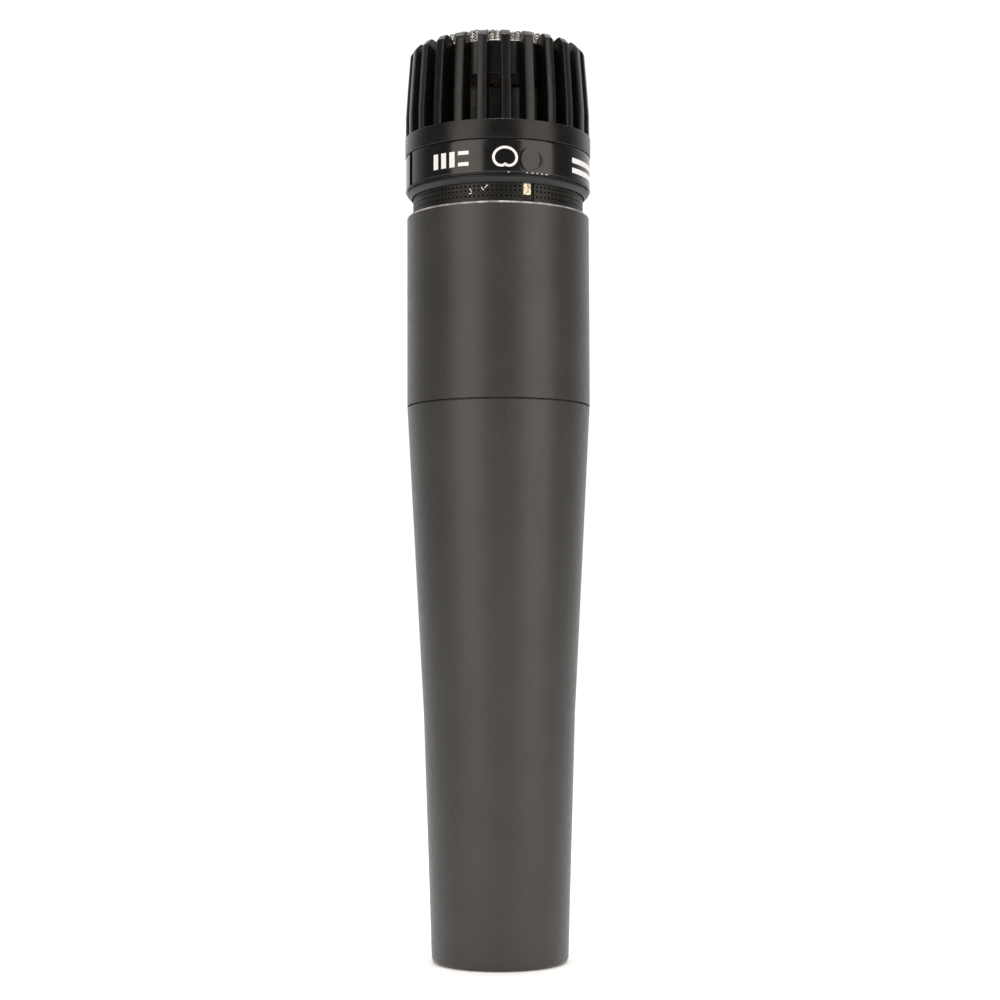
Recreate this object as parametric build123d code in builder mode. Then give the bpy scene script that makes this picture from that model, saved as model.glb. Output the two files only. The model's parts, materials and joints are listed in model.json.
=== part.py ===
from build123d import *
import math
import os

# A handheld dynamic microphone, standing on its connector end. Millimetres throughout.
# The origin is the centre of the foot, +Z runs up the axis and -Y is the front.
# Round pieces are drawn as (radius, height) profiles and turned about the axis.

# ---- Driving dimensions: outside ----------------------------------------------------
foot_radius = 11.6
foot_rounding = 1.0
waist_height = 42.0  # where the handle's taper steepens
waist_radius = 12.95
waist_blend = 1000.0
handle_height = 94.35
handle_top_radius = 15.72
barrel_bottom = 94.65
barrel_radius = 15.75
barrel_top = 127.5
barrel_edge_rounding = 0.4
port_ring_radius = 14.72
port_ring_wall = 0.35
head_bottom = 130.7
head_lip_radius = 15.0
head_ring_top = 131.6
cap_bottom = 131.9
label_bottom = 132.1
label_top = 137.9
head_radius = 16.1
slot_floor = 141.2
fin_tip_height = 156.8
crown_height = 157.4

# ---- Driving dimensions: inside -----------------------------------------------------
socket_radius = 8.1
socket_depth = 13.5
insert_top = 22.5
thread_bore_radius = 13.6
thread_neck_radius = 13.5
thread_floor = 84.5
barrel_bore_radius = 14.1
barrel_mouth_radius = 14.98
barrel_mouth_floor = 123.2
capsule_radius = 9.6
capsule_bottom = 127.0
capsule_top = 143.0
seat_radius = 13.2
cap_bore_radius = 13.3
inner_ring_radius = 12.6
gap = 0.05  # between pieces of one body

label_joint_angle = -158.7  # where the label's two ends stop short of each other
label_joint_width = 1.4
fin_count = 24
first_fin_angle = -84.75  # the fin just right of the front centre
fin_thickness = 1.6


# ---- Handle -------------------------------------------------------------------------
latch_pocket = (3.8, 2.4, 2.4)
key_rib = (2.0, 1.5, 6.4)
screw_height = 18.0
screw_radius = 1.4

with BuildPart() as handle_shell:
    with BuildSketch(Plane.XZ) as handle_section:
        Polygon(
            (socket_radius + 0.4, 0),
            (foot_radius, 0),
            (waist_radius, waist_height),
            (handle_top_radius, handle_height),
            (thread_bore_radius + 0.3, handle_height),
            (thread_bore_radius, handle_height - 0.3),
            (thread_bore_radius, thread_floor),
            (12.75, thread_floor - 0.6),
            (10.55, waist_height),
            (10.0, 26.0),
            (socket_radius, 24.0),
            (socket_radius, 0.4),
        )
        corners = handle_section.vertices()
        fillet(corners.sort_by_distance((foot_radius, 0))[0], foot_rounding)
        fillet(corners.sort_by_distance((waist_radius, waist_height))[0], waist_blend)
        fillet(corners.sort_by_distance((handle_top_radius, handle_height))[0], 0.4)
    revolve(axis=Axis.Z)
    # Keying rib on the socket's rear wall, and the pocket the plug's latch drops into
    with Locations((0, socket_radius - 0.45, 10.2)):
        Box(*key_rib)
    with Locations((0, socket_radius, 4.2)):
        Box(*latch_pocket, mode=Mode.SUBTRACT)
    # Threaded hole for the screw that holds the contact insert
    with Locations((0, 10.0, screw_height)):
        Cylinder(screw_radius + gap, 6.0, rotation=(90, 0, 0), mode=Mode.SUBTRACT)


# ---- Connector ----------------------------------------------------------------------
contact_circle = 4.05
contact_radius = 1.2
contact_tip = 2.0
contact_neck_radius = 0.8
contact_shoulder_radius = 1.6
shoulder_span = (15.0, 20.0)
cup_radius = 1.5
cup_hole_radius = 0.85
cup_span = (23.6, 26.5)
contact_places = {
    "contact_pin_1": (contact_circle, 0),
    "contact_pin_2": (-contact_circle, 0),
    "contact_pin_3": (0, -contact_circle),
}

with BuildPart() as connector_insert:
    with BuildSketch(Plane.XY.offset(socket_depth)):
        Circle(socket_radius - gap)
    extrude(amount=insert_top - socket_depth)
    # Each contact's shoulder is held between a narrow mouth and a narrow tail hole
    hole_places = list(contact_places.values())
    with Locations(*[(x, y, 18.0) for x, y in hole_places]):
        Cylinder(contact_neck_radius + 0.02, 12.0, mode=Mode.SUBTRACT)
    with Locations(*[(x, y, sum(shoulder_span) / 2) for x, y in hole_places]):
        Cylinder(
            contact_shoulder_radius + 0.02,
            shoulder_span[1] - shoulder_span[0],
            mode=Mode.SUBTRACT,
        )
    with Locations((0, 7.0, screw_height)):
        Cylinder(screw_radius + gap, 2.6, rotation=(90, 0, 0), mode=Mode.SUBTRACT)

contact_pins = {}
for pin_name, (x, y) in contact_places.items():
    with BuildPart() as contact_pin:
        with BuildSketch(Plane(origin=(x, y, 0), x_dir=(1, 0, 0), z_dir=(0, -1, 0))):
            with BuildLine():
                Line((0, contact_tip), (0.4, contact_tip))
                RadiusArc((0.4, contact_tip), (contact_radius, contact_tip + 0.8), -0.8)
                Polyline(
                    (contact_radius, contact_tip + 0.8),
                    (contact_radius, socket_depth - 0.1),
                    (contact_neck_radius, socket_depth - 0.1),
                    (contact_neck_radius, shoulder_span[0] + 0.03),
                    (contact_shoulder_radius, shoulder_span[0] + 0.03),
                    (contact_shoulder_radius, shoulder_span[1] - 0.03),
                    (contact_neck_radius, shoulder_span[1] - 0.03),
                    (contact_neck_radius, insert_top + 0.1),
                    (cup_radius, insert_top + 0.1),
                    (cup_radius, cup_span[1]),
                    (cup_hole_radius, cup_span[1]),
                    (cup_hole_radius, cup_span[0]),
                    (0, cup_span[0]),
                    (0, contact_tip),
                )
            make_face()
        revolve(axis=Axis((x, y, 0), (0, 0, 1)))
    contact_pins[pin_name] = contact_pin

with BuildPart() as connector_screw:
    with BuildSketch(Plane(origin=(0, 6.0, screw_height), z_dir=(0, 1, 0))):
        Circle(screw_radius)
    extrude(amount=5.7)
    with Locations((0, 11.7, screw_height)):
        Box(0.5, 1.6, 3.0, mode=Mode.SUBTRACT)

with BuildPart() as ground_clip:
    # A bent strip from contact 1's tail, up the casing and out against its wall
    with BuildSketch(Plane.XZ):
        Polygon(
            (2.2, insert_top + 0.1),
            (7.7, insert_top + 0.1),
            (7.7, 27.6),
            (9.8, 27.6),
            (9.8, 28.0),
            (7.3, 28.0),
            (7.3, insert_top + 0.5),
            (2.2, insert_top + 0.5),
        )
    extrude(amount=1.8, both=True)
    with Locations((contact_circle, 0, insert_top)):
        Cylinder(cup_radius + gap, 4.0, mode=Mode.SUBTRACT)


# ---- Transformer --------------------------------------------------------------------
core_bottom = 32.0
core_size = (14.0, 6.0, 17.0)
core_middle = core_bottom + core_size[2] / 2
window_width = 3.0
window_height = 11.0
leg_width = 4.0
bobbin_height = 10.6
flange_size = (9.7, 12.0)
tube_size = (5.4, 7.4)

with BuildPart() as transformer_core:
    with Locations((0, 0, core_middle)):
        Box(*core_size)
    window_offset = (leg_width + window_width) / 2
    with Locations((window_offset, 0, core_middle), (-window_offset, 0, core_middle)):
        Box(window_width, 10, window_height, mode=Mode.SUBTRACT)

with BuildPart() as transformer_bobbin:
    with Locations((0, 0, core_middle)):
        Box(*tube_size, bobbin_height)
    flange_offset = bobbin_height / 2 - 0.35
    for side in (-1, 1):
        with Locations((0, 0, core_middle + side * flange_offset)):
            Box(*flange_size, 0.7)
    with Locations((0, 0, core_middle)):
        Box(leg_width + 2 * gap, core_size[1] + 2 * gap, 20, mode=Mode.SUBTRACT)

with BuildPart() as transformer_winding:
    with BuildSketch(Plane.XY.offset(core_middle - 4.55)):
        RectangleRounded(9.4, 11.6, 2.0)
        Rectangle(tube_size[0] + 2 * gap, tube_size[1] + 2 * gap, mode=Mode.SUBTRACT)
    extrude(amount=9.1)

with BuildPart() as potting_compound:
    with BuildSketch(Plane.XZ):
        Polygon((0, 36.5), (10.3, 36.5), (10.48, 41.9), (10.6, 44.0), (0, 44.0))
    revolve(axis=Axis.Z)
    with Locations((0, 0, core_middle)):
        Box(core_size[0] + 2 * gap, flange_size[1] + 0.2, 20, mode=Mode.SUBTRACT)


# ---- Leads inside the handle --------------------------------------------------------
lead_radius = 0.6
lead_routes = {
    "output_lead_1": [(-4.05, 0, 24.2), (-4.05, 0, 28), (-3.5, 3.9, 31), (-2.5, 5.2, 34.8)],
    "output_lead_2": [(0, -4.05, 24.2), (0, -4.05, 28), (1.2, -4.7, 31.5), (2.5, -5.2, 34.8)],
    "input_lead_1": [
        (-2.5, 5.2, 46), (-3.4, 5.4, 54), (-2.2, 3.4, 64), (-4.6, 2.0, 75), (-3.5, 0.2, 85),
        (-3.5, 0, 92.4),
    ],
    "input_lead_2": [
        (2.5, -5.2, 46), (3.2, -5.6, 55), (2.4, -3.0, 63), (4.4, -2.4, 74), (3.5, -0.2, 84),
        (3.5, 0, 92.4),
    ],
}


def bend_radii(points):
    """An arc for each corner, as large as its two runs leave room for."""
    radii = []
    for before, corner, after in zip(points, points[1:], points[2:]):
        back = Vector(before) - Vector(corner)
        ahead = Vector(after) - Vector(corner)
        half_turn = math.radians(180 - back.get_angle(ahead)) / 2
        radii.append(0.45 * min(back.length, ahead.length) / math.tan(half_turn))
    return radii


leads = {}
for lead_name, points in lead_routes.items():
    with BuildPart() as lead:
        with BuildLine() as route:
            FilletPolyline(*points, radius=bend_radii(points))
        with BuildSketch(Plane(origin=route.line @ 0, z_dir=route.line % 0)):
            Circle(lead_radius)
        sweep(path=route.line)
    leads[lead_name] = lead


# ---- Seam ---------------------------------------------------------------------------
with BuildPart() as seam_washer:
    with BuildSketch(Plane.XY.offset(handle_height + 0.03)):
        Circle(15.35)
        Circle(thread_bore_radius, mode=Mode.SUBTRACT)
    extrude(amount=barrel_bottom - handle_height - 0.06)


# ---- Barrel -------------------------------------------------------------------------
collar_bore_radius = 11.3
collar_top = 100.0
snap_groove = (104.5, 105.4)

with BuildPart() as barrel_shell:
    with BuildSketch(Plane.XZ) as barrel_section:
        Polygon(
            (barrel_mouth_radius, barrel_top),
            (barrel_mouth_radius, barrel_mouth_floor),
            (barrel_bore_radius, barrel_mouth_floor),
            (barrel_bore_radius, snap_groove[1]),
            (14.7, snap_groove[1]),
            (14.7, snap_groove[0]),
            (barrel_bore_radius, snap_groove[0]),
            (barrel_bore_radius, barrel_bottom),
            (barrel_radius, barrel_bottom),
            (barrel_radius, barrel_top),
        )
        corners = barrel_section.vertices()
        fillet(
            corners.sort_by_distance((barrel_radius, barrel_top))[0],
            barrel_edge_rounding,
        )
        chamfer(corners.sort_by_distance((barrel_radius, barrel_bottom))[0], 0.4)
    revolve(axis=Axis.Z)

with BuildPart() as threaded_collar:
    with BuildSketch(Plane.XZ):
        Polygon(
            (collar_bore_radius, 86.4),
            (thread_neck_radius - 0.4, 86.4),
            (thread_neck_radius, 86.8),
            (thread_neck_radius, barrel_bottom),
            (barrel_bore_radius - gap, barrel_bottom),
            (barrel_bore_radius - gap, collar_top),
            (collar_bore_radius, collar_top),
        )
    revolve(axis=Axis.Z)

with BuildPart() as mount_ring:
    with BuildSketch(Plane.XZ):
        Polygon(
            (11.4, 100.05),
            (barrel_bore_radius - gap, 100.05),
            (barrel_bore_radius - gap, 102.6),
            (12.2, 102.6),
            (12.2, 101.2),
            (11.4, 101.2),
        )
    revolve(axis=Axis.Z)

with BuildPart() as shock_mount:
    # Rubber sleeve: a flange in the barrel, a folded web, and a collar on the capsule's tube
    with BuildSketch(Plane.XZ) as mount_section:
        Polygon(
            (11.2, 102.65),
            (barrel_bore_radius - gap, 102.65),
            (barrel_bore_radius - gap, 104.4),
            (12.6, 104.4),
            (12.2, 107.0),
            (10.6, 109.4),
            (10.6, 113.0),
            (9.15, 113.0),
            (9.15, 107.8),
            (11.2, 105.6),
        )
        fillet(mount_section.vertices().group_by(Axis.Y)[3:-1], 0.35)
    revolve(axis=Axis.Z)

with BuildPart() as retaining_ring:
    with BuildSketch(Plane.XY.offset(snap_groove[0] + gap)):
        Circle(14.6)
        Circle(12.95, mode=Mode.SUBTRACT)
        with Locations((0, 14)):
            Rectangle(3.0, 5.0, mode=Mode.SUBTRACT)
    extrude(amount=0.8)


# ---- Cartridge ----------------------------------------------------------------------
tube_radius = 9.0
tube_bottom = 99.0
lug_offset = 3.5
shelf_height = 131.3
shelf_thickness = 0.3
joint_angle = -69.5  # where the sleeve's two ends meet over a brass tab
joint_gap = 1.9
tab_width = 1.34
tab_bottom = 128.75
sleeve_bottom = 125.45
sleeve_top = 131.2
window_count = 12
seat_groove = (137.0, 137.6)

with BuildPart() as chamber_tube:
    with BuildSketch(Plane.XY.offset(tube_bottom)):
        Circle(tube_radius)
        Circle(tube_radius - 0.8, mode=Mode.SUBTRACT)
    extrude(amount=124.5 - tube_bottom)

with BuildPart() as terminal_board:
    with BuildSketch(Plane.XY.offset(tube_bottom - 1.4)):
        Circle(tube_radius)
        with PolarLocations(tube_radius, 3, start_angle=90):
            Circle(0.9, mode=Mode.SUBTRACT)
    extrude(amount=1.4)

lugs = {}
for lug_name, side in {"terminal_lug_1": -1, "terminal_lug_2": 1}.items():
    with BuildPart() as lug:
        # Riveted foot on the board and a flat tail with a wire hole
        with Locations((side * lug_offset, 0, tube_bottom - 1.65)):
            Box(3.2, 2.4, 0.4)
        with Locations((side * lug_offset, 0, 95.3)):
            Box(2.2, 0.4, 3.8)
        with Locations((side * lug_offset, 0, 94.6)):
            Cylinder(0.55, 3.0, rotation=(90, 0, 0), mode=Mode.SUBTRACT)
    lugs[lug_name] = lug

with BuildPart() as cartridge_base:
    with BuildSketch(Plane.XZ):
        Polygon(
            (0, 124.5),
            (port_ring_radius, 124.5),
            (port_ring_radius, 125.4),
            (14.2, 125.4),
            (14.2, capsule_bottom),
            (0, capsule_bottom),
        )
    revolve(axis=Axis.Z)
    # Passages from the capsule's rear into the tube below
    with Locations((0, 0, 125.75)):
        with PolarLocations(7.4, 8):
            Cylinder(0.6, 4.0, mode=Mode.SUBTRACT)

with BuildPart() as port_cage:
    with BuildSketch(Plane.XY.offset(capsule_bottom)):
        Circle(14.1)
        Circle(13.3, mode=Mode.SUBTRACT)
    extrude(amount=shelf_height - gap - capsule_bottom)
    with Locations((0, 0, 129.2)):
        with PolarLocations(13.7, window_count, start_angle=15):
            Box(3.0, 5.6, 3.0, mode=Mode.SUBTRACT)

with BuildPart() as port_cloth:
    with BuildSketch(Plane.XY.offset(capsule_bottom + 0.1)):
        Circle(14.3)
        Circle(14.15, mode=Mode.SUBTRACT)
    extrude(amount=4.1)

with BuildPart() as rear_port_ring:
    # Thin sleeve rolled from strip, open at its joint
    with BuildSketch(Plane.XY.offset(sleeve_bottom)):
        Circle(port_ring_radius)
        Circle(port_ring_radius - port_ring_wall, mode=Mode.SUBTRACT)
        with PolarLocations(port_ring_radius, 1, start_angle=joint_angle):
            Rectangle(2.0, joint_gap, mode=Mode.SUBTRACT)
    extrude(amount=sleeve_top - sleeve_bottom)

with BuildPart() as joint_tab:
    # Brass tab in the upper half of the sleeve's joint, against the joint's left end
    with BuildSketch(Plane.XY.offset(tab_bottom)):
        Circle(port_ring_radius - 0.04)
        Circle(port_ring_radius - port_ring_wall, mode=Mode.SUBTRACT)
        tab_turn = math.degrees((joint_gap - tab_width) / 2 / port_ring_radius)
        with PolarLocations(port_ring_radius, 1, start_angle=joint_angle - tab_turn):
            Rectangle(2.0, tab_width - 0.06, mode=Mode.INTERSECT)
    extrude(amount=sleeve_top - tab_bottom)

with BuildPart() as head_seat:
    with BuildSketch(Plane.XZ):
        Polygon(
            (capsule_radius + gap, shelf_height),
            (14.3, shelf_height),
            (14.3, shelf_height + shelf_thickness),
            (seat_radius, shelf_height + shelf_thickness),
            (seat_radius, seat_groove[0]),
            (seat_radius - 0.6, seat_groove[0]),
            (seat_radius - 0.6, seat_groove[1]),
            (seat_radius, seat_groove[1]),
            (seat_radius, 139.0),
            (11.6, 139.0),
            (11.6, shelf_height + 0.8),
            (capsule_radius + gap, shelf_height + 0.8),
        )
    revolve(axis=Axis.Z)

with BuildPart() as swivel_ring:
    with BuildSketch(Plane.XY.offset(seat_groove[0] + gap)):
        Circle(13.5)
        Circle(12.65, mode=Mode.SUBTRACT)
        with Locations((0, 13)):
            Rectangle(2.4, 3.0, mode=Mode.SUBTRACT)
    extrude(amount=0.5)


# ---- Capsule ------------------------------------------------------------------------
pole_radius = 4.85
magnet_bottom = 129.0
magnet_top = 138.0
plate_bottom = 141.0
ring_top = 145.0

with BuildPart() as magnet_cup:
    with BuildSketch(Plane.XZ):
        Polygon(
            (0, capsule_bottom + gap),
            (capsule_radius, capsule_bottom + gap),
            (capsule_radius, plate_bottom),
            (8.3, plate_bottom),
            (8.3, magnet_bottom),
            (0, magnet_bottom),
        )
    revolve(axis=Axis.Z)
    with Locations((0, 0, 128)):
        with PolarLocations(7.4, 8):
            Cylinder(0.6, 4.0, mode=Mode.SUBTRACT)

with BuildPart() as magnet:
    with BuildSketch(Plane.XY.offset(magnet_bottom)):
        Circle(6.6)
    extrude(amount=magnet_top - magnet_bottom)
    chamfer(magnet.edges().filter_by(GeomType.CIRCLE), 0.3)

with BuildPart() as pole_piece:
    with BuildSketch(Plane.XZ):
        Polygon(
            (0, magnet_top),
            (6.6, magnet_top),
            (6.6, 139.4),
            (pole_radius, 140.2),
            (pole_radius, capsule_top),
            (0, capsule_top),
        )
    revolve(axis=Axis.Z)

with BuildPart() as top_plate:
    with BuildSketch(Plane.XY.offset(plate_bottom)):
        Circle(capsule_radius)
        Circle(5.55, mode=Mode.SUBTRACT)
    extrude(amount=capsule_top - plate_bottom)

with BuildPart() as diaphragm_ring:
    with BuildSketch(Plane.XY.offset(capsule_top)):
        Circle(capsule_radius)
        Circle(8.5, mode=Mode.SUBTRACT)
    extrude(amount=ring_top - capsule_top)

with BuildPart() as resonator_cap:
    # Domed cap over the diaphragm with a ring of sound holes in its roof
    with BuildSketch(Plane.XZ):
        Polygon(
            (8.5, ring_top),
            (capsule_radius, ring_top),
            (capsule_radius, 148.4),
            (9.0, 149.0),
            (0, 149.0),
            (0, 148.2),
            (8.5, 147.6),
        )
    revolve(axis=Axis.Z)
    with Locations((0, 0, 148.5)):
        with PolarLocations(5.6, 8):
            Cylinder(1.1, 4.0, mode=Mode.SUBTRACT)
        Cylinder(1.5, 4.0, mode=Mode.SUBTRACT)

with BuildPart() as voice_coil:
    with BuildSketch(Plane.XY.offset(141.2)):
        Circle(5.35)
        Circle(5.05, mode=Mode.SUBTRACT)
    extrude(amount=2.4)

with BuildPart() as diaphragm:
    # A dome inside the coil and a shallow roll outside it
    with BuildSketch(Plane.XZ):
        with BuildLine():
            Line((0, 145.3), (0, 145.2))
            TangentArc((0, 145.2), (5.0, 143.65), tangent=(1, 0))
            ThreePointArc((5.0, 143.65), (6.7, 144.45), (8.25, 143.8))
            Line((8.25, 143.8), (8.25, 143.9))
            ThreePointArc((8.25, 143.9), (6.7, 144.55), (5.0, 143.75))
            TangentArc((0, 145.3), (5.0, 143.75), tangent=(1, 0))
        make_face()
    revolve(axis=Axis.Z)


# ---- Head ---------------------------------------------------------------------------
with BuildPart() as head_ring:
    # Coned lower lip, with a narrow groove between it and the skirt above
    with BuildSketch(Plane.XZ):
        Polygon(
            (head_lip_radius - 0.05, head_bottom),
            (head_lip_radius + 0.05, head_bottom),
            (15.9, head_ring_top),
            (15.6, head_ring_top),
            (15.6, cap_bottom - gap),
            (head_lip_radius - 0.05, cap_bottom - gap),
        )
    revolve(axis=Axis.Z)

with BuildPart() as fin:
    with BuildSketch(Plane.XZ):
        with BuildLine():
            Line((12.5, slot_floor - 0.4), (head_radius - 0.04, slot_floor - 0.4))
            ThreePointArc(
                (head_radius - 0.04, slot_floor - 0.4),
                (15.7, 149.5),
                (15.2, 155.5),
            )
            ThreePointArc((15.2, 155.5), (14.9, 156.4), (14.2, fin_tip_height))
            Polyline((14.2, fin_tip_height), (12.45, 156.0), (12.5, slot_floor - 0.4))
        make_face()
    extrude(amount=fin_thickness / 2, both=True)
    long_edges = fin.edges().filter_by(GeomType.CIRCLE)
    fillet(long_edges, 0.28)

with BuildPart() as grille_cap:
    # Skirt that turns on the cartridge, with the label's recess and the plain band
    with BuildSketch(Plane.XZ):
        Polygon(
            (cap_bore_radius, cap_bottom),
            (16.0, cap_bottom),
            (16.0, label_bottom),
            (15.5, label_bottom),
            (15.5, label_top),
            (head_radius, label_top),
            (head_radius, slot_floor),
            (12.4, slot_floor),
            (12.4, 139.3),
            (cap_bore_radius, 139.3),
            (cap_bore_radius, 137.8),
            (13.75, 137.8),
            (13.75, 136.8),
            (cap_bore_radius, 136.8),
        )
    revolve(axis=Axis.Z)
    # Inner ring that ties the fins together and seats the wire screen
    with BuildSketch(Plane.XZ):
        Polygon(
            (11.9, 149.7),
            (inner_ring_radius, 149.7),
            (inner_ring_radius, 155.4),
            (12.3, 155.4),
            (12.3, 154.8),
            (11.9, 154.8),
        )
    revolve(axis=Axis.Z)
    with PolarLocations(0, fin_count, start_angle=first_fin_angle):
        add(fin.part)
    # The fins stop short of the screen's rim
    with Locations((0, 0, 156.0)):
        Cylinder(inner_ring_radius - 0.3, 2.4, mode=Mode.SUBTRACT)

with BuildPart() as label_band:
    # Printed strip in the skirt's recess, its two ends meeting at a narrow gap
    with BuildSketch(Plane.XY.offset(label_bottom + 0.12)):
        Circle(15.95)
        Circle(15.5 + gap, mode=Mode.SUBTRACT)
        with PolarLocations(15.7, 1, start_angle=label_joint_angle):
            Rectangle(2.0, label_joint_width, mode=Mode.SUBTRACT)
    extrude(amount=label_top - label_bottom - 0.27)

with BuildPart() as screen_rim:
    with BuildSketch(Plane.XZ):
        Polygon(
            (11.3, 154.85),
            (12.25, 154.85),
            (12.25, 155.6),
            (11.9, 155.6),
            (11.9, 155.2),
            (11.3, 155.2),
        )
    revolve(axis=Axis.Z)

with BuildPart() as wire_screen:
    # Shallow pan of wire cloth, as one thin shell, its crown just above the fins
    with BuildSketch(Plane.XZ):
        with BuildLine():
            Polyline((0, crown_height - 0.6), (0, crown_height))
            TangentArc((0, crown_height), (10.2, 157.1), tangent=(1, 0))
            ThreePointArc((10.2, 157.1), (11.3, 156.6), (11.85, 155.25))
            Line((11.85, 155.25), (11.25, 155.25))
            ThreePointArc((11.25, 155.25), (10.8, 156.2), (10.0, 156.52))
            TangentArc((0, crown_height - 0.6), (10.0, 156.52), tangent=(1, 0))
        make_face()
    revolve(axis=Axis.Z)

with BuildPart() as filter_disc:
    with BuildSketch(Plane.XY.offset(152.9)):
        Circle(11.85)
    extrude(amount=1.9)


# ---- Write one file per piece -------------------------------------------------------
pieces = {
    "handle_shell": handle_shell,
    "connector_insert": connector_insert,
    **contact_pins,
    "connector_screw": connector_screw,
    "ground_clip": ground_clip,
    "transformer_core": transformer_core,
    "transformer_bobbin": transformer_bobbin,
    "transformer_winding": transformer_winding,
    "potting_compound": potting_compound,
    **leads,
    "seam_washer": seam_washer,
    "barrel_shell": barrel_shell,
    "threaded_collar": threaded_collar,
    "mount_ring": mount_ring,
    "shock_mount": shock_mount,
    "retaining_ring": retaining_ring,
    "chamber_tube": chamber_tube,
    "terminal_board": terminal_board,
    **lugs,
    "cartridge_base": cartridge_base,
    "port_cage": port_cage,
    "port_cloth": port_cloth,
    "rear_port_ring": rear_port_ring,
    "joint_tab": joint_tab,
    "head_seat": head_seat,
    "swivel_ring": swivel_ring,
    "magnet_cup": magnet_cup,
    "magnet": magnet,
    "pole_piece": pole_piece,
    "top_plate": top_plate,
    "diaphragm_ring": diaphragm_ring,
    "resonator_cap": resonator_cap,
    "diaphragm": diaphragm,
    "voice_coil": voice_coil,
    "grille_cap": grille_cap,
    "head_ring": head_ring,
    "label_band": label_band,
    "screen_rim": screen_rim,
    "wire_screen": wire_screen,
    "filter_disc": filter_disc,
}

os.makedirs("parts", exist_ok=True)
for name, piece in pieces.items():
    piece.part.label = name
    export_step(piece.part, f"parts/{name}.step")
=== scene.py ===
import json
import math

import bmesh
import bpy
from mathutils import Euler, Matrix, Vector, noise


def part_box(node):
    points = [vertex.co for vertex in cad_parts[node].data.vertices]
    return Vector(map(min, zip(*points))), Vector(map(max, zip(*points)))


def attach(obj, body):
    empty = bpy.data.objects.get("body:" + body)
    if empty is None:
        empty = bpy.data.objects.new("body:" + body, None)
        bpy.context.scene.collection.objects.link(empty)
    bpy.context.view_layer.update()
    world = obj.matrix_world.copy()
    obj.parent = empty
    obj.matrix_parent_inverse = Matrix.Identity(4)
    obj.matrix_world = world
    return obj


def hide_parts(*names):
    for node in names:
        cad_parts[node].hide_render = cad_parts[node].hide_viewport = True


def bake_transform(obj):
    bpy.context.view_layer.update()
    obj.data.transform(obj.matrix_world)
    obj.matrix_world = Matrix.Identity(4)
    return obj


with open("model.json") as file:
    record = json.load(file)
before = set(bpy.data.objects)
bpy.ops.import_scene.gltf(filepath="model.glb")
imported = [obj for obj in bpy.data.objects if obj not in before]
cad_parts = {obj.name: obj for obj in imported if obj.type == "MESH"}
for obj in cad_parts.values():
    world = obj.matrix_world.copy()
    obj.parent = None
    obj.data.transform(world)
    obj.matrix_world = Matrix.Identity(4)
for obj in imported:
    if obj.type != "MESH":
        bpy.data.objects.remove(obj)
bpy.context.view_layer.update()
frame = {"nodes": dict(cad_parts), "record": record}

# Sizes are in millimetres until a mesh is made; the frame is in metres.
# Angles on the microphone run from the front (-Y) towards the right (+X), in degrees.
MM = 0.001
ROUND = 240  # facets around a turned piece
FIN_COUNT = 24
FRONT_FIN = 5.25  # angle of the fin nearest the front
SCREW_PITCH = 1.25


# ---- Places, from the frame ---------------------------------------------------------
def extent(node):
    """Outer radius, bottom and top of a CAD piece turned about the axis."""
    low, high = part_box(node)
    return high.x / MM, low.z / MM, high.z / MM


def direction(angle):
    """Unit vector at an angle around the microphone."""
    turn = math.radians(angle - 90)
    return Vector((math.cos(turn), math.sin(turn), 0))


# ---- Mesh making --------------------------------------------------------------------
def rounded(points):
    """Outline with each (x, y, radius) corner turned into an arc; (x, y) corners stay sharp."""
    steps = 4
    outline = []
    count = len(points)
    for index, point in enumerate(points):
        corner = Vector(point[:2])
        radius = point[2] if len(point) > 2 else 0
        if not radius:
            outline.append(tuple(corner))
            continue
        before = (Vector(points[index - 1][:2]) - corner).normalized()
        after = (Vector(points[(index + 1) % count][:2]) - corner).normalized()
        half = before.angle(after) / 2
        reach = radius / math.tan(half)
        centre = corner + (before + after).normalized() * radius / math.sin(half)
        start = corner + before * reach - centre
        sweep = start.angle_signed(corner + after * reach - centre)
        for step in range(steps + 1):
            arm = start.copy()
            arm.rotate(Matrix.Rotation(-sweep * step / steps, 2))
            outline.append(tuple(centre + arm))
    return outline


def mesh_piece(name, vertices, faces, sharp=38):
    """Object from vertices in millimetres, shaded smooth up to a sharp angle."""
    mesh = bpy.data.meshes.new(name)
    mesh.from_pydata([tuple(Vector(v) * MM) for v in vertices], [], faces)
    work = bmesh.new()
    work.from_mesh(mesh)
    bmesh.ops.recalc_face_normals(work, faces=work.faces)
    work.to_mesh(mesh)
    work.free()
    mesh.polygons.foreach_set("use_smooth", [True] * len(mesh.polygons))
    mesh.set_sharp_from_angle(angle=math.radians(sharp))
    piece = bpy.data.objects.new(name, mesh)
    bpy.context.scene.collection.objects.link(piece)
    return piece


def grid_faces(rows, columns, wrap_rows=False, wrap_columns=True):
    """Quads over a grid of vertices stored row by row."""
    faces = []
    for row in range(rows if wrap_rows else rows - 1):
        for column in range(columns if wrap_columns else columns - 1):
            here = row * columns
            above = (row + 1) % rows * columns
            beside = (column + 1) % columns
            faces.append((here + column, here + beside, above + beside, above + column))
    return faces


def turned(outline, segments=ROUND, shape=None):
    """Vertices and faces of a closed (radius, height) outline turned about the axis.

    shape(radius, height, angle) may return a changed (radius, height)."""
    vertices = []
    for radius, height in outline:
        for segment in range(segments):
            angle = 360 * segment / segments
            r, z = shape(radius, height, angle) if shape else (radius, height)
            vertices.append(direction(angle) * r + Vector((0, 0, z)))
    return vertices, grid_faces(len(outline), segments, wrap_rows=True)


def merge(parts):
    """One vertex list and one face list from several."""
    vertices, faces = [], []
    for part_vertices, part_faces in parts:
        offset = len(vertices)
        vertices += part_vertices
        faces += [tuple(index + offset for index in face) for face in part_faces]
    return vertices, faces


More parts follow.
